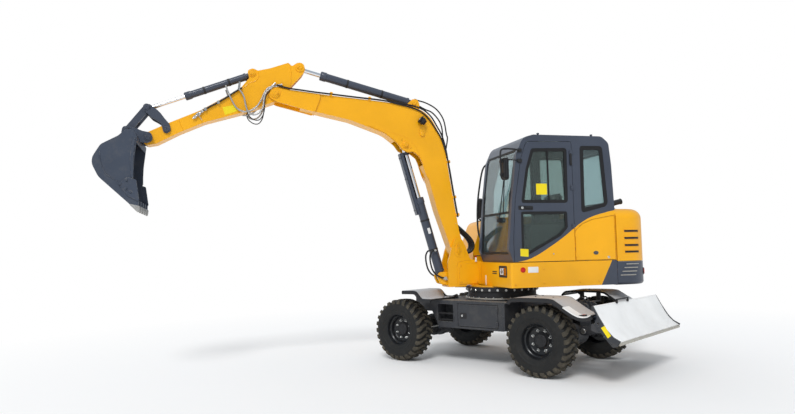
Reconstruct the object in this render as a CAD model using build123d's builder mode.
from build123d import *
import os
from math import atan2, cos, degrees, hypot, radians, sin

# A six tonne wheeled excavator, in millimetres.
# The undercarriage is drawn with +X towards the steered front axle, +Y to the left and +Z up.
# The origin lies on the ground under the swing centre.
# The upper structure is drawn looking along +X too and is turned about +Z by the slew angle
# when it is delivered. The digging arm is drawn member by member, each along the line
# between its two pins, and is set at the boom, arm and bucket angles.

os.makedirs("parts", exist_ok=True)

# ---------------------------------------------------------------- driving dimensions
# undercarriage
wheelbase = 2126.0
front_axle_x = 1101.0
rear_axle_x = front_axle_x - wheelbase
tread = 1597.0
tyre_radius = 414.5
tyre_width = 305.0
rim_radius = 208.0
kingpin_y = 660.0
girder_half_width = 260.0
deck_z = 808.0
deck_thickness = 12.0
box_side_y = 660.0
box_bottom_z = 460.0
box_rear_x = -445.0
box_front_x = 740.0
sheet = 8.0
# swing bearing
ring_radius = 460.0
ring_bore = 300.0
ring_top_z = 990.0
slew_angle = 55.77
# upper structure
half_width = 927.0
platform_z = 1008.0
platform_plate = 22.0
platform_front_x = 272.0
platform_rear_x = -1200.0
seam_z = 1318.0
skin = 40.0
tail_x = -1750.0
tail_corner = 350.0
hood_top_z = 1985.0
counterweight_bottom_z = 1000.0
counterweight_top_z = 1300.0
# cab
cab_right_y = -70.0
cab_wall = 45.0
cab_floor_z = 1322.0
glass_thickness = 6.0
# digging arm
arm_centre_y = -215.0
boom_half = 105.0
arm_half = 95.0
boom_foot = (590.0, 1491.0)
boom_length = 3216.0
boom_angle = 40.35
arm_length = 1668.0
arm_angle = -21.94
bucket_width = 840.0
bucket_angle = 21.18
boom_cylinder_base = (800.0, 1125.0)
bracket_plate = 35.0
bracket_gap = 5.0
# clearances
seat_gap = 0.3
running_gap = 6.0


# ---------------------------------------------------------------- helpers
def side(y):
    """Drawing plane seen from the left: across is +X, up is +Z, extrusions run towards -Y."""
    return Plane(origin=(0, y, 0), x_dir=(1, 0, 0), z_dir=(0, -1, 0))


def along(pin, angle, y):
    """Drawing plane that starts at a pin and follows a member at its angle above +X."""
    return Plane(
        origin=(pin[0], y, pin[1]),
        x_dir=(cos(radians(angle)), 0, sin(radians(angle))),
        z_dir=(0, -1, 0),
    )


def outline(plane, corners):
    """Closed face from corners (across, up, corner radius)."""
    with BuildSketch(plane) as profile:
        with BuildLine():
            FilletPolyline(
                *[(corner[0], corner[1]) for corner in corners],
                radius=[corner[2] for corner in corners],
                close=True,
            )
        make_face()
    return profile.sketch


def disc(plane, centre, radius):
    """Round face at a point of a drawing plane."""
    with BuildSketch(plane) as profile:
        with Locations(centre):
            Circle(radius)
    return profile.sketch


def block(x, y, z):
    """Base face and height of a box given as (low, high) pairs."""
    with BuildSketch(Plane.XY.offset(z[0])) as base:
        with Locations(((x[0] + x[1]) / 2, (y[0] + y[1]) / 2)):
            Rectangle(x[1] - x[0], y[1] - y[0])
    return base.sketch, z[1] - z[0]


def member_point(pin, angle, point):
    """A point given along and above a member, as (x, z)."""
    c, s = cos(radians(angle)), sin(radians(angle))
    return (pin[0] + point[0] * c - point[1] * s, pin[1] + point[0] * s + point[1] * c)


def deliver(builder, name, turn=0.0):
    """Turn the piece about the swing axis, label it and write its file."""
    piece = builder.part.moved(Location((0, 0, 0), (0, 0, turn)))
    piece.label = name
    export_step(piece, f"parts/{name}.step")


# ---------------------------------------------------------------- pins of the digging arm
boom_tip = member_point(boom_foot, boom_angle, (boom_length, 0))
boom_cylinder_pin = member_point(boom_foot, boom_angle, (1476, 641))
arm_cylinder_base = member_point(boom_foot, boom_angle, (1745, 1193))
arm_cylinder_pin = member_point(boom_tip, arm_angle, (-437, 215))
bucket_cylinder_base = member_point(boom_tip, arm_angle, (173, 347))
rocker_pivot = member_point(boom_tip, arm_angle, (1422, 16))
rocker_pin = member_point(boom_tip, arm_angle, (1538, 363))
bucket_pin = member_point(boom_tip, arm_angle, (arm_length, 0))
link_pin = member_point(bucket_pin, bucket_angle, (257.4, 0))

# blade linkage, drawn in the undercarriage
blade_pivot = (-1250.0, 470.0)
blade_cylinder_base = (-1185.0, 715.0)
blade_cylinder_pin = (-1560.0, 560.0)
blade_eye_width = 88.0
blade_arm_plate = 38.0
blade_pin_radius = 24.0

# ---------------------------------------------------------------- chassis
girder = [
    (-1130, deck_z, 0), (1320, deck_z, 0), (1320, 620, 20), (770, 620, 30),
    (640, 480, 20), (-620, 480, 20), (-760, 620, 30), (-1130, 620, 0),
]
tail_plate = [
    (-1120, deck_z, 0), (-1300, deck_z, 60), (-1330, 430, 50), (-1205, 405, 40),
    (-1190, 600, 20), (-1120, 625, 0),
]
tail_plate_y = (100.0, 140.0)
tow_eye = (1375.0, 700.0)
tow_eye_bore = 22.0
tow_plate = 30.0
girder_wall = 12.0

with BuildPart() as chassis_frame:
    extrude(outline(side(girder_half_width), girder), amount=2 * girder_half_width)
    extrude(
        offset(
            outline(side(girder_half_width - girder_wall), girder),
            -girder_wall,
            mode=Mode.PRIVATE,
        ),
        amount=2 * (girder_half_width - girder_wall),
        mode=Mode.SUBTRACT,
    )
    # deck between the two side boxes, and the seat of the swing bearing
    face, height = block((-500, box_front_x), (-box_side_y, box_side_y), (deck_z, deck_z + deck_thickness))
    extrude(face, amount=height)
    extrude(disc(Plane.XY.offset(deck_z + deck_thickness), (0, 0), ring_radius + 30), amount=12)
    # axle saddles: the front one holds the rocking pin, the rear ones clamp the axle tube
    for x, y in [(front_axle_x, 0), (rear_axle_x, 205), (rear_axle_x, -205)]:
        face, height = block((x - 80, x + 80), (y - 50, y + 50), (570 if y == 0 else 489.5, 625))
        extrude(face, amount=height)
    # two plates behind the girder carry the blade arms and the blade cylinder
    for low, high in [tail_plate_y, (-tail_plate_y[1], -tail_plate_y[0])]:
        extrude(outline(side(high), tail_plate), amount=high - low)
    # pins that the blade arms turn on
    pin_length = blade_arm_plate + 12
    for start in (tail_plate_y[1] + blade_arm_plate + 2, 10 - tail_plate_y[1]):
        extrude(disc(side(start), blade_pivot, blade_pin_radius), amount=pin_length)
    # bosses that hold the blade cylinder's eye between the plates
    eye_face = blade_eye_width / 2 + seat_gap
    for start in (tail_plate_y[0], -eye_face):
        extrude(disc(side(start), blade_cylinder_base, 40), amount=tail_plate_y[0] - eye_face)
    # towing eye at the nose: a flat plate with an upright hole
    nose = [(1310, -60, 0), (1310, 60, 0), (1425, 45, 40), (1425, -45, 40)]
    extrude(outline(Plane.XY.offset(tow_eye[1] - tow_plate / 2), nose), amount=tow_plate)
    tow_hole = disc(Plane.XY.offset(tow_eye[1] - tow_plate), (tow_eye[0], 0), tow_eye_bore)
    extrude(tow_hole, amount=2 * tow_plate, mode=Mode.SUBTRACT)
deliver(chassis_frame, "chassis_frame")

# side boxes: a shell with a step recess at the front; the left one is a tool locker
recess = ((350.0, 608.0), (540.0, 768.0))
recess_depth = 190.0
locker = ((-345.0, 280.0), (485.0, 785.0))
# the nose slants back below, where the front tyre swings past it at full lock
box_profile = [
    (box_rear_x, deck_z, 0), (box_rear_x, box_bottom_z, 25), (598, box_bottom_z, 25), (634, 545, 60),
    (662, 600, 60), (box_front_x, 725, 60), (box_front_x, deck_z, 0),
]
door_thickness = 22.0
leaf_end = 1.0

for sign, box_name in [(1, "side_box_left"), (-1, "side_box_right")]:
    inner, outer = sorted((sign * girder_half_width, sign * box_side_y))
    with BuildPart() as side_box:
        extrude(outline(side(outer), box_profile), amount=outer - inner)
        face, height = block(
            (box_rear_x + sheet, recess[0][0] - sheet),
            (inner + sheet, outer - sheet),
            (box_bottom_z + sheet, deck_z - sheet),
        )
        extrude(face, amount=height, mode=Mode.SUBTRACT)
        opening_y = sorted((sign * (box_side_y + 1), sign * (box_side_y - recess_depth)))
        face, height = block(recess[0], opening_y, recess[1])
        extrude(face, amount=height, mode=Mode.SUBTRACT)
        if sign > 0:
            locker_y = (outer - door_thickness - 2, outer + 1)
            face, height = block(locker[0], locker_y, locker[1])
            extrude(face, amount=height, mode=Mode.SUBTRACT)
    deliver(side_box, box_name)

with BuildPart() as toolbox_door:
    face, height = block(
        (locker[0][0] + running_gap, locker[0][1] - running_gap),
        (box_side_y - door_thickness, box_side_y),
        (locker[1][0] + running_gap, locker[1][1] - running_gap),
    )
    extrude(face, amount=height)
    fillet(toolbox_door.edges().filter_by(Axis.Y), 14)
    # hinge leaves and barrels that just reach the locker's rear jamb
    hinge_radius = 7.5
    for z in (locker[1][0] + 60, locker[1][1] - 60):
        barrel_foot = Plane.XY.offset(z - 25)
        hinge_axis = (locker[0][0], box_side_y + seat_gap + hinge_radius)
        extrude(disc(barrel_foot, hinge_axis, hinge_radius), amount=50)
        face, height = block(
            (locker[0][0] - leaf_end, locker[0][0] + 30),
            (box_side_y + seat_gap, box_side_y + 9),
            (z - 25, z + 25),
        )
        extrude(face, amount=height)
        face, height = block(
            (locker[0][0] + 8, locker[0][0] + 30), (box_side_y - 4, box_side_y + 4), (z - 25, z + 25)
        )
        extrude(face, amount=height)
deliver(toolbox_door, "toolbox_door")

with BuildPart() as slew_ring:
    ring_seat_z = deck_z + deck_thickness + 12
    with BuildSketch(Plane.XY.offset(ring_seat_z)):
        Circle(ring_radius)
        Circle(ring_bore, mode=Mode.SUBTRACT)
    extrude(amount=ring_top_z - ring_seat_z)
deliver(slew_ring, "slew_ring")

# ---------------------------------------------------------------- axles and knuckles
axle_tube = 75.0
hub_inner = tread / 2 - 60.0


def axis_y(x, z=tyre_radius):
    return Plane(origin=(x, 0, z), x_dir=(1, 0, 0), z_dir=(0, 1, 0))


with BuildPart() as rear_axle:
    with BuildSketch(axis_y(rear_axle_x).offset(-(hub_inner - seat_gap))):
        Circle(axle_tube)
    extrude(amount=2 * (hub_inner - seat_gap))
    with BuildSketch(axis_y(rear_axle_x).offset(-150)):
        Circle(150)
    extrude(amount=300)
    for start in (-(hub_inner - seat_gap), hub_inner - seat_gap - 30):
        with BuildSketch(axis_y(rear_axle_x).offset(start)):
            Circle(110)
        extrude(amount=30)
deliver(rear_axle, "rear_axle")

yoke_height = 90.0
with BuildPart() as front_axle:
    beam_end = kingpin_y - 80
    with BuildSketch(axis_y(front_axle_x).offset(-beam_end)):
        Circle(axle_tube - 5)
    extrude(amount=2 * beam_end)
    with BuildSketch(axis_y(front_axle_x).offset(-150)):
        Circle(155.5)
    extrude(amount=300)
    for sign in (1, -1):
        # C-shaped yoke: a back plate and two arms above and below the knuckle
        back = sorted((sign * (kingpin_y - 85), sign * (kingpin_y - 60)))
        face, height = block(
            (front_axle_x - 50, front_axle_x + 50), back, (tyre_radius - 125, tyre_radius + 125)
        )
        extrude(face, amount=height)
        for z in (tyre_radius + yoke_height + seat_gap, tyre_radius - 125):
            arm_y = sorted((sign * (kingpin_y - 85), sign * (kingpin_y + 45)))
            face, height = block(
                (front_axle_x - 50, front_axle_x + 50), arm_y, (z, z + 125 - yoke_height - seat_gap)
            )
            extrude(face, amount=height)
deliver(front_axle, "front_axle")

for sign, knuckle_name in [(1, "steering_knuckle_left"), (-1, "steering_knuckle_right")]:
    with BuildPart() as knuckle:
        with BuildSketch(Plane.XY.offset(tyre_radius - yoke_height)):
            with Locations((front_axle_x, sign * kingpin_y)):
                Circle(45)
        extrude(amount=2 * yoke_height)
        # spindle and hub flange; the steering arm points inwards and back
        spindle = sorted((sign * kingpin_y, sign * (hub_inner - seat_gap)))
        with BuildSketch(axis_y(front_axle_x).offset(spindle[0])):
            Circle(60)
        extrude(amount=spindle[1] - spindle[0])
        with BuildSketch(Plane.XY.offset(tyre_radius - 15)) as steering_arm:
            with BuildLine():
                Polyline(
                    (front_axle_x + 20, sign * (kingpin_y + 30)),
                    (front_axle_x - 20, sign * (kingpin_y + 10)),
                    (front_axle_x - 130, sign * (kingpin_y - 40)),
                    (front_axle_x - 120, sign * (kingpin_y - 5)),
                    close=True,
                )
            make_face()
        extrude(amount=30)
    deliver(knuckle, knuckle_name)

# ---------------------------------------------------------------- wheels
# tyre section: (radius, half width) of the outer skin, then of the inner skin
tyre_skin = [
    (tyre_radius, tyre_width / 2 - 36), (tyre_radius - 18, tyre_width / 2 - 12),
    (tyre_radius - 80, tyre_width / 2), (rim_radius + 60, tyre_width / 2 - 4),
    (rim_radius + 28, tyre_width / 2 - 16), (rim_radius + 17, tyre_width / 2 - 36),
    (rim_radius + 0.4, tyre_width / 2 - 36), (rim_radius + 0.4, tyre_width / 2 - 62),
    (rim_radius + 40, tyre_width / 2 - 34),
    (tyre_radius - 90, tyre_width / 2 - 26), (tyre_radius - 48, tyre_width / 2 - 40),
]
# rim section: (radius, offset from the tyre's centre plane), outboard positive
rim_half = tyre_width / 2 - 35
rim_section = [
    (rim_radius + 16, rim_half + 8), (rim_radius + 16, rim_half), (rim_radius, rim_half),
    (rim_radius, -rim_half), (rim_radius + 16, -rim_half), (rim_radius + 16, -rim_half - 8),
    (rim_radius - 8, -rim_half - 8), (rim_radius - 8, -14), (120, -14), (120, -60), (0, -60),
    (0, 47), (72, 47), (80, 34), (105, 28), (105, 2), (rim_radius - 8, 2), (rim_radius - 8, rim_half + 8),
]
corners = [
    ("front_left", front_axle_x, 1), ("front_right", front_axle_x, -1),
    ("rear_left", rear_axle_x, 1), ("rear_right", rear_axle_x, -1),
]
for corner, wheel_x, sign in corners:
    wheel_plane = Plane(origin=(wheel_x, sign * tread / 2, tyre_radius), x_dir=(1, 0, 0), z_dir=(0, 0, 1))
    wheel_axis = Axis((wheel_x, 0, tyre_radius), (0, 1, 0))
    with BuildPart() as tyre:
        with BuildSketch(wheel_plane):
            with BuildLine():
                Polyline(
                    *[(r, w) for r, w in tyre_skin],
                    *[(r, -w) for r, w in reversed(tyre_skin)],
                    close=True,
                )
            make_face()
        revolve(axis=wheel_axis)
    deliver(tyre, f"tyre_{corner}")
    with BuildPart() as rim:
        with BuildSketch(wheel_plane):
            with BuildLine():
                Polyline(*[(r, sign * w) for r, w in rim_section], close=True)
            make_face()
        revolve(axis=wheel_axis)
    deliver(rim, f"rim_{corner}")

# ---------------------------------------------------------------- fenders
rear_fender = [(-640, 890), (-700, 905), (-1260, 915), (-1400, 850), (-1570, 738), (-1650, 728), (-1700, 752)]
front_fender = [(540, 842), (690, 846), (790, 935), (850, 946), (1040, 946)]
fender_outer_y = 950.0
lip_depth = 42.0


def strip(points, depth):
    """Closed corner list of a band that hangs below a line of points."""
    upper = [(x, z, 0) for x, z in points]
    lower = [(x, z - depth, 0) for x, z in reversed(points)]
    return upper + lower


with BuildPart() as fenders:
    for sign in (1, -1):
        for line, inner_y, outer_y in [
            (rear_fender, 470.0, fender_outer_y), (front_fender, 330.0, fender_outer_y - 40)
        ]:
            start = max(sign * inner_y, sign * outer_y)
            extrude(outline(side(start), strip(line, sheet)), amount=outer_y - inner_y)
            edge = max(sign * outer_y, sign * (outer_y - sheet))
            extrude(outline(side(edge), strip(line, lip_depth)), amount=sheet)
        # brackets: rear one from the girder up to the fender, front one from the deck
        for x, y, z in [
            ((-1000, -900), (girder_half_width, 520), (775, 800)),
            ((-1000, -900), (495, 520), (775, 905)),
            ((560, 590), (340, 640), (deck_z + deck_thickness, 842)),
        ]:
            face, height = block(x, sorted((sign * y[0], sign * y[1])), z)
            extrude(face, amount=height)
deliver(fenders, "fenders")

# ---------------------------------------------------------------- dozer blade
blade_half = 960.0
blade_skin = [
    (-1742, 852, 0), (-1800, 735, 120), (-1868, 615, 160), (-1945, 530, 160), (-2030, 480, 0),
    (-2018, 440, 0), (-1960, 455, 0), (-1850, 560, 150), (-1790, 680, 120), (-1722, 838, 0),
]
blade_cheek = [
    (-1742, 856, 10), (-1805, 735, 120), (-1950, 525, 160), (-2032, 484, 0), (-2014, 436, 0),
    (-1940, 424, 20), (-1840, 530, 40), (-1752, 650, 60), (-1755, 700, 20), (-1712, 840, 10),
]
blade_arm = [
    (-1196, 455, 30), (-1200, 522, 30), (-1290, 535, 20), (-1560, 625, 60), (-1800, 700, 0),
    (-1850, 560, 0), (-1590, 490, 60), (-1290, 415, 30),
]
with BuildPart() as dozer_blade:
    extrude(outline(side(blade_half - 12), blade_skin), amount=2 * (blade_half - 12))
    for start in (blade_half, -(blade_half - 14)):
        extrude(outline(side(start), blade_cheek), amount=14)
    for start in (tail_plate_y[1] + seat_gap + blade_arm_plate, -(tail_plate_y[1] + seat_gap)):
        extrude(outline(side(start), blade_arm), amount=blade_arm_plate)
    pin_hole = disc(side(tail_plate_y[1] + 60), blade_pivot, blade_pin_radius + seat_gap)
    extrude(pin_hole, amount=2 * (tail_plate_y[1] + 60), mode=Mode.SUBTRACT)
    # cross plate under the cylinder and the two lugs beside the rod's eye
    cross = [(-1640, 500, 0), (-1700, 520, 0), (-1700, 560, 0), (-1640, 545, 0)]
    extrude(outline(side(tail_plate_y[1] + 10), cross), amount=2 * (tail_plate_y[1] + 10))
    lug = [(-1650, 500, 0), (-1525, 520, 30), (-1515, 600, 30), (-1600, 615, 30), (-1700, 550, 0)]
    for start in (70, -45):
        extrude(outline(side(start), lug), amount=25)
deliver(dozer_blade, "dozer_blade")


# ---------------------------------------------------------------- hydraulic cylinders
gland_length = 46.0
gland_lip = 6.0
barrel_wall = 9.0
neck_length = 40.0


def barrel_section(sizes):
    """Half section of a barrel along its axis: a neck, the bored tube and the rod's gland."""
    length, radius = sizes["barrel"], sizes["barrel_radius"]
    bore = radius - barrel_wall
    guide = sizes["rod_radius"] + seat_gap
    neck = sizes["eye_width"] / 2 - 2
    root = sizes["eye"] * 0.6
    shoulder = sizes["eye"] + neck_length
    return [
        (root, 0), (root, neck), (shoulder, neck), (shoulder, radius),
        (length - gland_length, radius), (length - gland_length, radius + gland_lip),
        (length, radius + gland_lip), (length, guide), (length - gland_length, guide),
        (length - gland_length, bore), (shoulder + 20, bore), (shoulder + 20, 0),
    ]


def along_line(base, pin, y):
    """Drawing plane from one pin towards another, and the distance between them."""
    across, up = pin[0] - base[0], pin[1] - base[1]
    return along(base, degrees(atan2(up, across)), y), hypot(across, up)


def turn_about_line(plane, section):
    """Solid of revolution of a half section about a drawing plane's own axis."""
    with BuildPart() as turned:
        with BuildSketch(plane):
            with BuildLine():
                Polyline(*section, close=True)
            make_face()
        revolve(axis=Axis(plane.origin, plane.x_dir))
    return turned.part


def cylinder_pieces(name, base, pin, y, sizes, turn):
    """Barrel on its base pin and rod up to its open eye."""
    plane, reach = along_line(base, pin, y)
    with BuildPart() as barrel:
        add(turn_about_line(plane, barrel_section(sizes)))
        eye_plane = plane.offset(-sizes["eye_width"] / 2)
        extrude(disc(eye_plane, (0, 0), sizes["eye"]), amount=sizes["eye_width"])
    deliver(barrel, f"{name}_barrel", turn)
    with BuildPart() as rod:
        add(turn_about_line(plane, [
            (sizes["piston"], 0), (sizes["piston"], sizes["rod_radius"]),
            (reach - sizes["eye"] * 0.7, sizes["rod_radius"]), (reach - sizes["eye"] * 0.7, 0),
        ]))
        extrude(disc(eye_plane, (reach, 0), sizes["eye"]), amount=sizes["eye_width"])
        extrude(
            disc(plane.offset(-sizes["eye_width"]), (reach, 0), sizes["pin_radius"]),
            amount=2 * sizes["eye_width"],
            mode=Mode.SUBTRACT,
        )
    return rod, plane, reach


# lengths are measured from the base pin; "piston" is where the rod starts inside the barrel
blade_sizes = dict(
    barrel=290, barrel_radius=46, rod_radius=20, piston=110, eye=38, eye_width=blade_eye_width, pin_radius=17)
boom_sizes = dict(
    barrel=1127, barrel_radius=62, rod_radius=35, piston=880, eye=55, eye_width=110, pin_radius=28)
arm_sizes = dict(
    barrel=1325, barrel_radius=55, rod_radius=30, piston=650, eye=50, eye_width=90, pin_radius=25)
bucket_sizes = dict(
    barrel=885, barrel_radius=46, rod_radius=26, piston=490, eye=45, eye_width=80, pin_radius=23)

blade_rod, _, _ = cylinder_pieces(
    "blade_cylinder", blade_cylinder_base, blade_cylinder_pin, 0, blade_sizes, 0)
deliver(blade_rod, "blade_cylinder_rod")

guard_start = 915.0
boom_rod, boom_rod_plane, boom_reach = cylinder_pieces(
    "boom_cylinder", boom_cylinder_base, boom_cylinder_pin, arm_centre_y, boom_sizes, slew_angle)
with boom_rod:
    # guard plate that rides in front of the rod, held by a collar below its eye
    guard = [
        (guard_start, -92, 0), (boom_reach - 95, -92, 0),
        (boom_reach - 95, -86, 0), (guard_start, -86, 0),
    ]
    extrude(outline(boom_rod_plane.offset(-50), guard), amount=100)
    collar = [
        (boom_reach - 130, -90, 0), (boom_reach - 130, 0, 0),
        (boom_reach - 95, 0, 0), (boom_reach - 95, -90, 0),
    ]
    extrude(outline(boom_rod_plane.offset(-30), collar), amount=60)
deliver(boom_rod, "boom_cylinder_rod", slew_angle)

arm_rod, _, _ = cylinder_pieces(
    "arm_cylinder", arm_cylinder_base, arm_cylinder_pin, arm_centre_y, arm_sizes, slew_angle)
deliver(arm_rod, "arm_cylinder_rod", slew_angle)

bucket_rod, _, _ = cylinder_pieces(
    "bucket_cylinder", bucket_cylinder_base, rocker_pin, arm_centre_y, bucket_sizes, slew_angle)
deliver(bucket_rod, "bucket_cylinder_rod", slew_angle)

# ---------------------------------------------------------------- boom
boom_plan = [
    (110, -30, 40), (572, 246, 300), (964, 520, 300), (1225, 645, 60), (1330, 640, 30), (1385, 580, 40),
    (1476, 556, 60), (1575, 580, 60), (1787, 573, 400), (2260, 393, 0), (2854, 70, 300),
    (boom_length - 96, -75, 60), (boom_length + 9, -95, 60), (boom_length + 94, -40, 50),
    (boom_length + 84, 60, 50), (boom_length - 26, 110, 40), (2669, 467, 0), (2059, 908, 600),
    (1560, 1225, 420), (1090, 1040, 500), (688, 685, 0), (155, 228, 200), (0, 118, 60), (-95, 60, 50),
    (-100, -60, 50), (20, -110, 50),
]
boom_wall = 14.0
tip_slot = 100.0
tip_slot_radius = 375.0
tip_fork = 24.0
with BuildPart() as boom:
    near = arm_centre_y + boom_half
    plane = along(boom_foot, boom_angle, near)
    extrude(outline(plane, boom_plan), amount=2 * boom_half)
    # hollow box that ends in a wall behind the slot at the tip
    inner = plane.offset(boom_wall)
    hollow = offset(outline(inner, boom_plan), -boom_wall, mode=Mode.PRIVATE)
    hollow = hollow - disc(inner, (boom_length, 0), tip_slot_radius + boom_wall)
    extrude(hollow, amount=2 * (boom_half - boom_wall), mode=Mode.SUBTRACT)
    # open the belly where the lift cylinder's eye works
    belly = [(1110, 480, 0), (1620, 480, 0), (1620, 640, 0), (1240, 700, 0), (1110, 660, 0)]
    extrude(outline(inner, belly), amount=2 * (boom_half - boom_wall), mode=Mode.SUBTRACT)
    # foot: a solid knuckle with a boss on each side
    foot = along(boom_foot, boom_angle, arm_centre_y + boom_half + bracket_gap - seat_gap)
    extrude(disc(foot, (0, 0), 82), amount=2 * (boom_half + bracket_gap - seat_gap))
    # lugs on the back that carry the arm cylinder
    lugs = [(1590, 1090, 0), (1680, 1232, 45), (1745, 1256, 40), (1797, 1215, 45), (1820, 1050, 0)]
    for gap in (arm_sizes["eye_width"] / 2 + seat_gap + 25, -arm_sizes["eye_width"] / 2 - seat_gap):
        extrude(outline(along(boom_foot, boom_angle, arm_centre_y + gap), lugs), amount=25)
    # fork at the tip, outside the arm
    cheek = [
        (boom_length - 546, 155, 40), (boom_length - 96, -70, 60), (boom_length + 9, -93, 60),
        (boom_length + 92, -40, 50), (boom_length + 82, 60, 50), (boom_length - 36, 108, 60),
        (boom_length - 456, 395, 40),
    ]
    for start in (tip_slot + tip_fork, -tip_slot):
        extrude(outline(along(boom_foot, boom_angle, arm_centre_y + start), cheek), amount=tip_fork)
    slot = along(boom_foot, boom_angle, arm_centre_y + tip_slot)
    extrude(disc(slot, (boom_length, 0), tip_slot_radius), amount=2 * tip_slot, mode=Mode.SUBTRACT)
deliver(boom, "boom", slew_angle)

# ---------------------------------------------------------------- arm
arm_plan = [
    (-495, 165, 30), (-495, 250, 40), (-430, 285, 40), (-345, 262, 30), (-320, 322, 20), (-66, 330, 60),
    (90, 352, 20), (140, 402, 35), (215, 400, 35), (228, 300, 30), (395, 203, 120), (961, 110, 200),
    (1379, 92, 200), (1590, 76, 60), (1738, 62, 60), (1738, -72, 60), (1600, -98, 60), (1288, -62, 200),
    (960, -48, 200), (513, -88, 200), (60, -98, 60), (-90, -70, 60), (-210, 5, 60), (-440, 120, 60),
]
arm_wall = 12.0
tail_slot = arm_sizes["eye_width"] / 2 + seat_gap
with BuildPart() as arm:
    plane = along(boom_tip, arm_angle, arm_centre_y + arm_half)
    extrude(outline(plane, arm_plan), amount=2 * arm_half)
    with BuildPart(mode=Mode.PRIVATE) as hollow:
        inside = [
            (-180, 60, 0), (-150, 300, 0), (20, 318, 0), (210, 260, 40), (395, 188, 100), (961, 96, 200),
            (1480, 72, 0), (1480, -58, 0), (1288, -48, 200), (960, -34, 200), (513, -74, 200),
            (60, -80, 60), (-90, -50, 0),
        ]
        extrude(outline(plane.offset(arm_wall), inside), amount=2 * (arm_half - arm_wall))
    add(hollow.part, mode=Mode.SUBTRACT)
    # pivot boss that nearly touches the boom's fork
    boss = along(boom_tip, arm_angle, arm_centre_y + tip_slot - seat_gap)
    extrude(disc(boss, (0, 0), 80), amount=2 * (tip_slot - seat_gap))
    # slot in the tail for the cylinder's eye, and one in the crest for the bucket cylinder's base
    tail = [(-600, -50, 0), (-205, -50, 0), (-205, 400, 0), (-600, 400, 0)]
    middle = along(boom_tip, arm_angle, arm_centre_y + tail_slot)
    extrude(outline(middle, tail), amount=2 * tail_slot, mode=Mode.SUBTRACT)
    crest_half = bucket_sizes["eye_width"] / 2 + seat_gap
    crest = [(110, 285, 0), (110, 450, 0), (560, 450, 0), (560, 235, 0), (300, 250, 0)]
    middle = along(boom_tip, arm_angle, arm_centre_y + crest_half)
    extrude(outline(middle, crest), amount=2 * crest_half, mode=Mode.SUBTRACT)
deliver(arm, "arm", slew_angle)

# ---------------------------------------------------------------- bucket linkage
rocker_inner = arm_half + seat_gap
rocker_plate = 20.0
link_outer = rocker_inner - 8
link_plate = 22.0


def strap(first, second, radius, y, thickness):
    """Straight plate with round ends about two pins, from y towards -Y."""
    plane, reach = along_line(first, second, y)
    with BuildSketch(plane) as face:
        with Locations((reach / 2, 0)):
            SlotCenterToCenter(reach, 2 * radius)
    return extrude(face.sketch, amount=thickness, mode=Mode.PRIVATE)


with BuildPart() as rocker:
    for start in (arm_centre_y + rocker_inner + rocker_plate, arm_centre_y - rocker_inner):
        add(strap(rocker_pivot, rocker_pin, 46, start, rocker_plate))
    # tie tube between the plates, clear of the arm's nose
    tie_plane = along_line(rocker_pivot, rocker_pin, arm_centre_y + rocker_inner + 5)[0]
    extrude(disc(tie_plane, (278, 0), 18), amount=2 * (rocker_inner + 5))
    # stub pins that carry the link
    for start in (arm_centre_y + rocker_inner + 5, arm_centre_y - link_outer - seat_gap):
        stub = disc(along(rocker_pin, 0, start), (0, 0), 24)
        extrude(stub, amount=rocker_inner + 5 - link_outer - seat_gap)
deliver(rocker, "rocker", slew_angle)

with BuildPart() as bucket_link:
    for start in (arm_centre_y + link_outer, arm_centre_y - link_outer + link_plate):
        add(strap(rocker_pin, link_pin, 42, start, link_plate))
    web_plane, web_reach = along_line(rocker_pin, link_pin, arm_centre_y + link_outer - 5)
    web = [(web_reach / 2 + 5, -14, 0), (web_reach / 2 + 50, -14, 0), (web_reach / 2 + 50, 14, 0),
           (web_reach / 2 + 5, 14, 0)]
    extrude(outline(web_plane, web), amount=2 * (link_outer - 5))
deliver(bucket_link, "bucket_link", slew_angle)

# ---------------------------------------------------------------- bucket
# corners are given from the bucket's pin, across and up, as it hangs at rest
bucket_plan = [
    (82, -45, 20), (120, 35, 40), (200, 48, 40), (290, -35, 60), (480, -140, 120), (590, -330, 160),
    (500, -520, 200), (150, -850, 0), (100, -880, 0), (85, -850, 0), (125, -580, 60), (112, -300, 200),
]
bucket_mouth = [
    (-150, -110, 0), (108, -110, 0), (130, -300, 0), (145, -580, 0), (120, -810, 0), (40, -890, 0),
    (-150, -890, 0),
]
ear = [(-62, -30, 40), (-45, 60, 50), (60, 80, 40), (205, 140, 40), (285, 130, 40), (300, 50, 40),
       (260, -20, 0), (70, -60, 0), (0, -70, 40)]
tooth = [(60, -800, 0), (100, -780, 0), (190, -800, 0), (150, -850, 0), (68, -932, 0), (62, -925, 0)]
ear_plate = 26.0
ear_inner = rocker_inner + rocker_plate + 5
bucket_cheek = 14.0
bucket_wall = 12.0
tooth_width = 62.0
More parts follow.
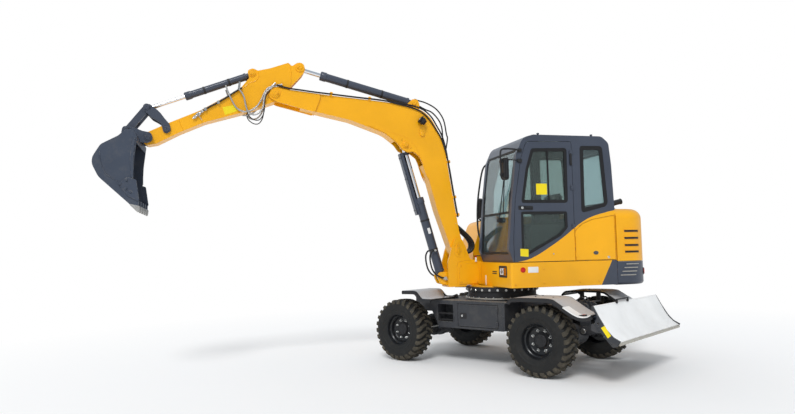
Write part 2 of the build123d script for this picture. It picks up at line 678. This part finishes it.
with BuildPart() as bucket:
    left = arm_centre_y + bucket_width / 2
    extrude(outline(along(bucket_pin, 0, left), bucket_plan), amount=bucket_width)
    inner_plane = along(bucket_pin, 0, left - bucket_cheek)
    inner_width = bucket_width - 2 * bucket_cheek
    hollow = offset(outline(inner_plane, bucket_plan), -bucket_wall, mode=Mode.PRIVATE)
    extrude(hollow, amount=inner_width, mode=Mode.SUBTRACT)
    extrude(outline(inner_plane, bucket_mouth), amount=inner_width, mode=Mode.SUBTRACT)
    for start in (arm_centre_y + ear_inner + ear_plate, arm_centre_y - ear_inner):
        extrude(outline(along(bucket_pin, 0, start), ear), amount=ear_plate)
    # bosses between the ears and the arm's nose, and between the ears and the link
    for pin, radius, inner in [(bucket_pin, 38, arm_half + seat_gap), (link_pin, 30, link_outer + seat_gap)]:
        for start in (arm_centre_y + ear_inner, arm_centre_y - inner):
            extrude(disc(along(pin, 0, start), (0, 0), radius), amount=ear_inner - inner)
    pitch = (bucket_width - tooth_width) / 4
    for index in range(5):
        start = left - index * pitch
        extrude(outline(along(bucket_pin, 0, start), tooth), amount=tooth_width)
deliver(bucket, "bucket", slew_angle)

# ---------------------------------------------------------------- turntable and boom bracket
bracket = [
    (-1150, 1030, 0), (-1150, 1150, 20), (-100, 1280, 0), (300, 1335, 60), (425, 1365, 60), (500, 1570, 60),
    (545, 1655, 60), (640, 1640, 60), (700, 1480, 100), (745, 1320, 20), (745, 990, 20), (500, 990, 0),
    (475, 1012, 0), (200, 1012, 0), (200, 1030, 0),
]
lug_plan = [(670, 1000, 0), (840, 1035, 40), (885, 1130, 60), (850, 1195, 40), (720, 1195, 0), (670, 1160, 0)]
near_plate_y = arm_centre_y + boom_half + bracket_gap + bracket_plate
far_plate_y = arm_centre_y - boom_half - bracket_gap
mount_posts = [(150, 780), (150, 60), (-950, 780), (-950, 60)]
with BuildPart() as turntable_frame:
    plate_edge = half_width - skin - seat_gap
    face, height = block(
        (platform_rear_x, platform_front_x - skin - seat_gap),
        (-plate_edge, plate_edge),
        (platform_z, platform_z + platform_plate),
    )
    extrude(face, amount=height)
    # tail of the platform inside the counterweight, and its rails under the engine
    face, height = block((-1470, platform_rear_x), (-580, 580), (platform_z, platform_z + platform_plate))
    extrude(face, amount=height)
    with BuildSketch(Plane.XY.offset(ring_top_z + seat_gap)):
        Circle(ring_radius - 30)
        Circle(ring_bore + 20, mode=Mode.SUBTRACT)
    extrude(amount=platform_z - ring_top_z - seat_gap)
    for start in (near_plate_y, far_plate_y):
        extrude(outline(side(start), bracket), amount=bracket_plate)
    # box between the two plates: floor, front wall and the lift cylinder's lugs
    face, height = block((500, 745), (far_plate_y - 10, near_plate_y - 10), (990, 1010))
    extrude(face, amount=height)
    face, height = block((660, 684), (far_plate_y - 10, near_plate_y - 10), (995, 1260))
    extrude(face, amount=height)
    lug_inner = boom_sizes["eye_width"] / 2 + seat_gap
    for start in (arm_centre_y + lug_inner + 30, arm_centre_y - lug_inner):
        extrude(outline(side(start), lug_plan), amount=30)
    for x, y in mount_posts:
        extrude(disc(Plane.XY.offset(platform_z + 5), (x, y), 50), amount=cab_floor_z - platform_z - 5)
    for x in (-1260, -1420):
        for y in (-300, 300):
            extrude(disc(Plane.XY.offset(platform_z + 5), (x, y), 40),
                    amount=counterweight_top_z - platform_z - 5)
deliver(turntable_frame, "turntable_frame", slew_angle)

# skirts: the band below the cab and the tanks, open at the boom bracket
bracket_bay = (far_plate_y - bracket_plate - 8, near_plate_y + 8)
lamp_bay = ((570.0, 790.0), (1140.0, 1270.0))
with BuildPart() as side_skirts:
    with BuildSketch(Plane.XY.offset(platform_z)):
        with Locations(((platform_front_x + platform_rear_x) / 2, 0)):
            Rectangle(platform_front_x - platform_rear_x, 2 * half_width)
            Rectangle(
                platform_front_x - platform_rear_x - 2 * skin,
                2 * (half_width - skin),
                mode=Mode.SUBTRACT,
            )
        with Locations(((platform_rear_x + skin / 2), 0)):
            Rectangle(skin + 2, 2 * (half_width - skin), mode=Mode.SUBTRACT)
        with Locations((platform_front_x, sum(bracket_bay) / 2)):
            Rectangle(4 * skin, bracket_bay[1] - bracket_bay[0], mode=Mode.SUBTRACT)
    extrude(amount=seam_z - platform_z)
    fillet(side_skirts.edges().filter_by(Axis.Z).filter_by(
        lambda edge: abs(abs(edge.center().Y) - half_width) < 1 and edge.center().X > 0), 30)
    face, height = block((platform_front_x - 30, platform_front_x + 1), lamp_bay[0], lamp_bay[1])
    extrude(face, amount=height, mode=Mode.SUBTRACT)
deliver(side_skirts, "side_skirts", slew_angle)


# ---------------------------------------------------------------- counterweight, engine and hood
def tail_plan(inset, front, z, rear=tail_x):
    """Plan of the tail: square in front, two big round corners behind."""
    with BuildSketch(Plane.XY.offset(z)) as plan:
        with BuildLine():
            edge = half_width - inset
            radius = tail_corner - inset
            FilletPolyline(
                (front, -edge), (front, edge), (rear + inset, edge), (rear + inset, -edge),
                radius=[0, 0, radius, radius], close=True,
            )
        make_face()
    return plan.sketch


tail_front_x = platform_rear_x - 5
with BuildPart() as counterweight:
    counterweight_height = counterweight_top_z - counterweight_bottom_z
    extrude(tail_plan(0, tail_front_x, counterweight_bottom_z), amount=counterweight_height)
    fillet(counterweight.edges().group_by(Axis.Z)[0].filter_by(
        lambda edge: edge.center().X < tail_front_x - 1), 40)
    face, height = block(
        (-1480, tail_front_x + 1), (-595, 595), (counterweight_bottom_z - 1, counterweight_top_z + 1))
    extrude(face, amount=height, mode=Mode.SUBTRACT)
deliver(counterweight, "counterweight", slew_angle)

with BuildPart() as engine_block:
    face, height = block((-1640, -1235), (-400, 380), (counterweight_top_z, 1830))
    extrude(face, amount=height)
    fillet(engine_block.edges().filter_by(Axis.Z), 30)
deliver(engine_block, "engine_block", slew_angle)

hood_wall = 24.0
hood_front_x = platform_rear_x - 12
hood_bottom_z = counterweight_top_z + running_gap
with BuildPart() as engine_hood:
    extrude(tail_plan(0, hood_front_x, hood_bottom_z), amount=hood_top_z - hood_bottom_z)
    fillet(engine_hood.edges().group_by(Axis.Z)[-1].filter_by(
        lambda edge: edge.center().X < hood_front_x - 1), 130)
    with BuildPart(mode=Mode.PRIVATE) as hollow:
        extrude(tail_plan(hood_wall, hood_front_x + 1, hood_bottom_z - 1),
                amount=hood_top_z - hood_wall - hood_bottom_z + 1)
        fillet(hollow.edges().group_by(Axis.Z)[-1].filter_by(
            lambda edge: edge.center().X < hood_front_x), 130 - hood_wall)
    add(hollow.part, mode=Mode.SUBTRACT)
    # hinge tabs under the roof that reach the tank cover's rear face
    for y in (-500, -250):
        face, height = block((-1240, platform_rear_x - seat_gap), (y - 40, y + 40), (1950, 1975))
        extrude(face, amount=height)
        hood_hinge = (hood_front_x - 4, hood_top_z + 4)
        extrude(disc(side(y + 40), hood_hinge, hinge_radius), amount=80)
deliver(engine_hood, "engine_hood", slew_angle)

# tank and pump cover on the right, and the low cover between it and the cab
tank_left_y = far_plate_y - bracket_plate - 8
tank_bottom_z = seam_z + seat_gap
tank_plan = [
    (platform_rear_x, tank_bottom_z, 0), (platform_rear_x, hood_top_z - 8, 0), (-150, hood_top_z - 40, 200),
    (110, 1885, 120), (262, 1480, 150), (268, tank_bottom_z, 0),
]
tank_wall = 20.0
with BuildPart() as tank_cover:
    extrude(outline(side(tank_left_y), tank_plan), amount=half_width + tank_left_y)
    fillet(tank_cover.edges().filter_by(Axis.X).group_by(Axis.Z)[-1].sort_by(Axis.Y)[0], 60)
    with BuildPart(mode=Mode.PRIVATE) as hollow:
        extrude(
            offset(outline(side(tank_left_y - tank_wall), tank_plan), -tank_wall, mode=Mode.PRIVATE),
            amount=half_width + tank_left_y - 2 * tank_wall - 20,
        )
    add(hollow.part, mode=Mode.SUBTRACT)
deliver(tank_cover, "tank_cover", slew_angle)

with BuildPart() as centre_cover:
    low = [(platform_rear_x, 1300, 0), (platform_rear_x, 1900, 20), (-900, 1900, 120), (-420, 1560, 150),
           (-120, 1520, 60), (-100, 1300, 0)]
    cover_width = cab_right_y - 8 - tank_left_y
    extrude(outline(side(cab_right_y - 8), low), amount=cover_width)
    extrude(
        offset(outline(side(cab_right_y - 8 - tank_wall), low), -tank_wall, mode=Mode.PRIVATE),
        amount=cover_width - 2 * tank_wall,
        mode=Mode.SUBTRACT,
    )
deliver(centre_cover, "centre_cover", slew_angle)

# ---------------------------------------------------------------- cab
cab_plan = [
    (236, cab_floor_z, 0), (294, 1478, 60), (232, 2094, 0), (157, 2670, 200), (60, 2880, 140),
    (-85, 2921, 100), (-1050, 2921, 100), (-1150, 2836, 80), (-1178, 2549, 200), (-1198, 1990, 0),
    (-1198, cab_floor_z, 0),
]
cab_inside = [
    (190, cab_floor_z + cab_wall, 0), (240, 1490, 40), (186, 2088, 0), (112, 2655, 180), (35, 2840, 110),
    (-90, 2874, 80), (-1035, 2874, 80), (-1104, 2820, 60), (-1132, 2545, 200), (-1148, 1990, 0),
    (-1148, 1800, 0), (-640, 1800, 0), (-640, cab_floor_z + cab_wall, 0),
]
door_plan = [
    (227, cab_floor_z - 1, 0), (230, 1599, 300), (192, 2094, 500), (100, 2610, 250), (20, 2835, 70),
    (-615, 2845, 30), (-615, cab_floor_z - 1, 0),
]
door_upper_glass = [(110, 2056, 30), (35, 2480, 200), (-50, 2745, 40), (-545, 2760, 40), (-535, 2056, 40)]
door_lower_glass = [(118, 1950, 30), (122, 1395, 60), (40, 1405, 100), (-420, 1640, 60), (-520, 1740, 40),
                    (-518, 1950, 30)]
quarter_glass = [(-730, 2790, 40), (-1055, 2795, 50), (-1108, 2020, 80), (-1040, 2000, 100), (-720, 1925, 40)]
right_front_glass = [(120, 1480, 60), (75, 2300, 200), (-60, 2760, 60), (-545, 2775, 40), (-545, 1480, 40)]
right_rear_glass = [(-640, 1870, 40), (-640, 2775, 40), (-1040, 2780, 60), (-1080, 1870, 60)]
bay = ((-1140.0, -680.0), (1366.0, 1765.0))
service_plan = [
    (-618, cab_floor_z + 3, 10), (-618, 1700, 0), (-720, 1790, 60), (-860, 1845, 150), (-1192, 1900, 10),
    (-1192, cab_floor_z + 3, 10),
]
windscreen_y = (cab_right_y + 60, half_width - 60)
with BuildPart() as cab_shell:
    extrude(outline(side(half_width), cab_plan), amount=half_width - cab_right_y)
    extrude(
        outline(side(half_width - cab_wall), cab_inside),
        amount=half_width - cab_right_y - 2 * cab_wall,
        mode=Mode.SUBTRACT,
    )
    # doorway, service bay and windows
    extrude(outline(side(half_width + 1), door_plan), amount=cab_wall + 1, mode=Mode.SUBTRACT)
    extrude(outline(side(half_width + 1), service_plan), amount=27, mode=Mode.SUBTRACT)
    face, height = block(bay[0], (cab_right_y + cab_wall, half_width + 1), bay[1])
    extrude(face, amount=height, mode=Mode.SUBTRACT)
    extrude(outline(side(half_width + 1), quarter_glass), amount=cab_wall + 2, mode=Mode.SUBTRACT)
    for pane in (right_front_glass, right_rear_glass):
        extrude(outline(side(cab_right_y + cab_wall + 1), pane), amount=cab_wall + 2, mode=Mode.SUBTRACT)
    windscreen = ((40, 500), (1420, 2740))
    face, height = block(windscreen[0], windscreen_y, windscreen[1])
    extrude(face, amount=height, mode=Mode.SUBTRACT)
    face, height = block((-1300, -1100), (cab_right_y + 110, half_width - 110), (2040, 2740))
    extrude(face, amount=height, mode=Mode.SUBTRACT)
deliver(cab_shell, "cab_shell", slew_angle)


def pane(plane, corners):
    """Thin sheet of glass, a little smaller than its opening."""
    sheet_face = offset(outline(plane, corners), -seat_gap, mode=Mode.PRIVATE)
    return extrude(sheet_face, amount=glass_thickness, mode=Mode.PRIVATE)


# the windscreen follows the pillars: a lower and an upper stretch
screen = [(261, 1420.3), (226, 2100), (148, 2640), (122, 2739.7)]
with BuildPart() as cab_glass:
    band = [(x, z, 0) for x, z in screen] + [(x - glass_thickness, z, 0) for x, z in reversed(screen)]
    extrude(
        outline(side(windscreen_y[1] - seat_gap), band),
        amount=windscreen_y[1] - windscreen_y[0] - 2 * seat_gap,
    )
    add(pane(side(half_width - 12), quarter_glass))
    for corners_of_pane in (right_front_glass, right_rear_glass):
        add(pane(side(cab_right_y + 18), corners_of_pane))
    rear_y = (cab_right_y + 110 + seat_gap, half_width - 110 - seat_gap)
    back = [(-1166, 2040.3, 0), (-1150, 2739.7, 0), (-1144, 2739.7, 0), (-1160, 2040.3, 0)]
    extrude(outline(side(rear_y[1]), back), amount=rear_y[1] - rear_y[0])
deliver(cab_glass, "cab_glass", slew_angle)

with BuildPart() as cab_door:
    whole = offset(outline(side(half_width), door_plan), -running_gap, mode=Mode.PRIVATE)
    extrude(whole, amount=cab_wall)
    for opening in (door_upper_glass, door_lower_glass):
        extrude(outline(side(half_width + 1), opening), amount=cab_wall + 2, mode=Mode.SUBTRACT)
    # hinge leaves and barrels that reach the pillar
    for z in (1760, 2250, 2700):
        hinge_axis = (-625, half_width + seat_gap + hinge_radius)
        extrude(disc(Plane.XY.offset(z - 28), hinge_axis, hinge_radius), amount=56)
        face, height = block((-626, -575), (half_width + seat_gap, half_width + 10), (z - 28, z + 28))
        extrude(face, amount=height)
        face, height = block((-608, -575), (half_width - 6, half_width + 6), (z - 28, z + 28))
        extrude(face, amount=height)
deliver(cab_door, "cab_door", slew_angle)

with BuildPart() as door_glass:
    for opening in (door_upper_glass, door_lower_glass):
        add(pane(side(half_width - 14), opening))
deliver(door_glass, "door_glass", slew_angle)

service_hinge_radius = 4.0
with BuildPart() as service_door:
    extrude(
        offset(outline(side(half_width), service_plan), -running_gap, mode=Mode.PRIVATE), amount=20)
    for z in (1400, 1650):
        hinge_axis = (-617, half_width + seat_gap + service_hinge_radius)
        extrude(disc(Plane.XY.offset(z - 25), hinge_axis, service_hinge_radius), amount=50)
        face, height = block((-650, -617), (half_width + seat_gap, half_width + 6), (z - 25, z + 25))
        extrude(face, amount=height)
        face, height = block((-650, -626), (half_width - 6, half_width + 4), (z - 25, z + 25))
        extrude(face, amount=height)
deliver(service_door, "service_door", slew_angle)

# ---------------------------------------------------------------- inside the cab
seat_y = 430.0
seat_z = 1600.0
cushion_top_z = 1700.0
floor = cab_floor_z + cab_wall
with BuildPart() as seat_base:
    face, height = block((-480, -120), (seat_y - 190, seat_y + 190), (floor, seat_z))
    extrude(face, amount=height)
    fillet(seat_base.edges().filter_by(Axis.Z), 30)
deliver(seat_base, "seat_base", slew_angle)

with BuildPart() as seat_cushion:
    cushion = [
        (-530, seat_z + seat_gap, 30), (-530, cushion_top_z, 30), (-60, cushion_top_z, 50),
        (-30, 1640, 40), (-80, seat_z + seat_gap, 20),
    ]
    extrude(outline(side(seat_y + 240), cushion), amount=480)
deliver(seat_cushion, "seat_cushion", slew_angle)

with BuildPart() as seat_backrest:
    back_z = cushion_top_z + seat_gap
    backrest = [(-545, back_z, 20), (-445, back_z, 30), (-560, 2230, 40), (-650, 2220, 40), (-625, 1800, 60)]
    extrude(outline(side(seat_y + 230), backrest), amount=460)
deliver(seat_backrest, "seat_backrest", slew_angle)

with BuildPart() as control_consoles:
    for y in (seat_y - 320, seat_y + 320):
        face, height = block((-560, -60), (y - 65, y + 65), (floor, 1790))
        extrude(face, amount=height)
        fillet(control_consoles.edges().filter_by(Axis.Y).group_by(Axis.Z)[-1], 15)
        extrude(disc(Plane.XY.offset(1780), (-130, y), 16), amount=150)
        extrude(disc(Plane.XY.offset(1925), (-130, y), 28), amount=90)
deliver(control_consoles, "control_consoles", slew_angle)

column_lean = 12.0
column_length = 480.0
wheel_radius = 165.0
with BuildPart() as steering_column:
    lean = (-sin(radians(column_lean)), 0, cos(radians(column_lean)))
    root = (145, seat_y, floor + 40 * sin(radians(column_lean)))
    with BuildSketch(Plane(origin=root, z_dir=lean)):
        Circle(38)
    extrude(amount=column_length)
    head = Plane(origin=Vector(*root) + Vector(*lean) * column_length, z_dir=lean)
    with BuildSketch(head):
        Circle(wheel_radius)
        Circle(wheel_radius - 24, mode=Mode.SUBTRACT)
    extrude(amount=26)
    with BuildSketch(head):
        Rectangle(2 * wheel_radius - 20, 34)
    extrude(amount=18)
    with BuildSketch(head):
        Circle(60)
    extrude(amount=30)
deliver(steering_column, "steering_column", slew_angle)

# ---------------------------------------------------------------- outside fittings
stalk_radius = 10.0
with BuildPart() as exhaust_pipe:
    pipe_y = 560.0
    face, height = block((-1420, -1330), (pipe_y - 45, pipe_y + 45), (hood_top_z + seat_gap, hood_top_z + 12))
    extrude(face, amount=height)
    extrude(disc(Plane.XY.offset(hood_top_z + 10), (-1375, pipe_y), 38), amount=110)
deliver(exhaust_pipe, "exhaust_pipe", slew_angle)

# mirrors: one beside the front pillar, one on top of the tank cover
with BuildPart() as mirrors:
    for root, head, depth, width, height in [
        ((145, half_width + stalk_radius, 2560), (352, half_width + 73, 2470), 50, 150, 270),
        ((-35, 127 - half_width, 1921), (-35, 127 - half_width, 2110), 40, 110, 300),
    ]:
        face, rise = block(
            (head[0] - depth / 2, head[0] + depth / 2),
            (head[1] - width / 2, head[1] + width / 2),
            (head[2] - height / 2, head[2] + height / 2),
        )
        extrude(face, amount=rise)
        # stalk from its root to the mirror's head, level with the root where that is the higher
        end = Vector(head[0], head[1], max(root[2], head[2] - height / 2 + 20))
        with BuildSketch(Plane(origin=root, z_dir=end - Vector(*root))):
            Circle(stalk_radius)
        extrude(amount=(end - Vector(*root)).length)
    fillet(mirrors.edges().filter_by(Axis.Z), 12)
deliver(mirrors, "mirrors", slew_angle)

with BuildPart() as work_lamps:
    face, height = block(
        (platform_front_x - 30 + seat_gap, platform_front_x - 6), (585, 690), (1155, 1255))
    extrude(face, amount=height)
deliver(work_lamps, "work_lamps", slew_angle)
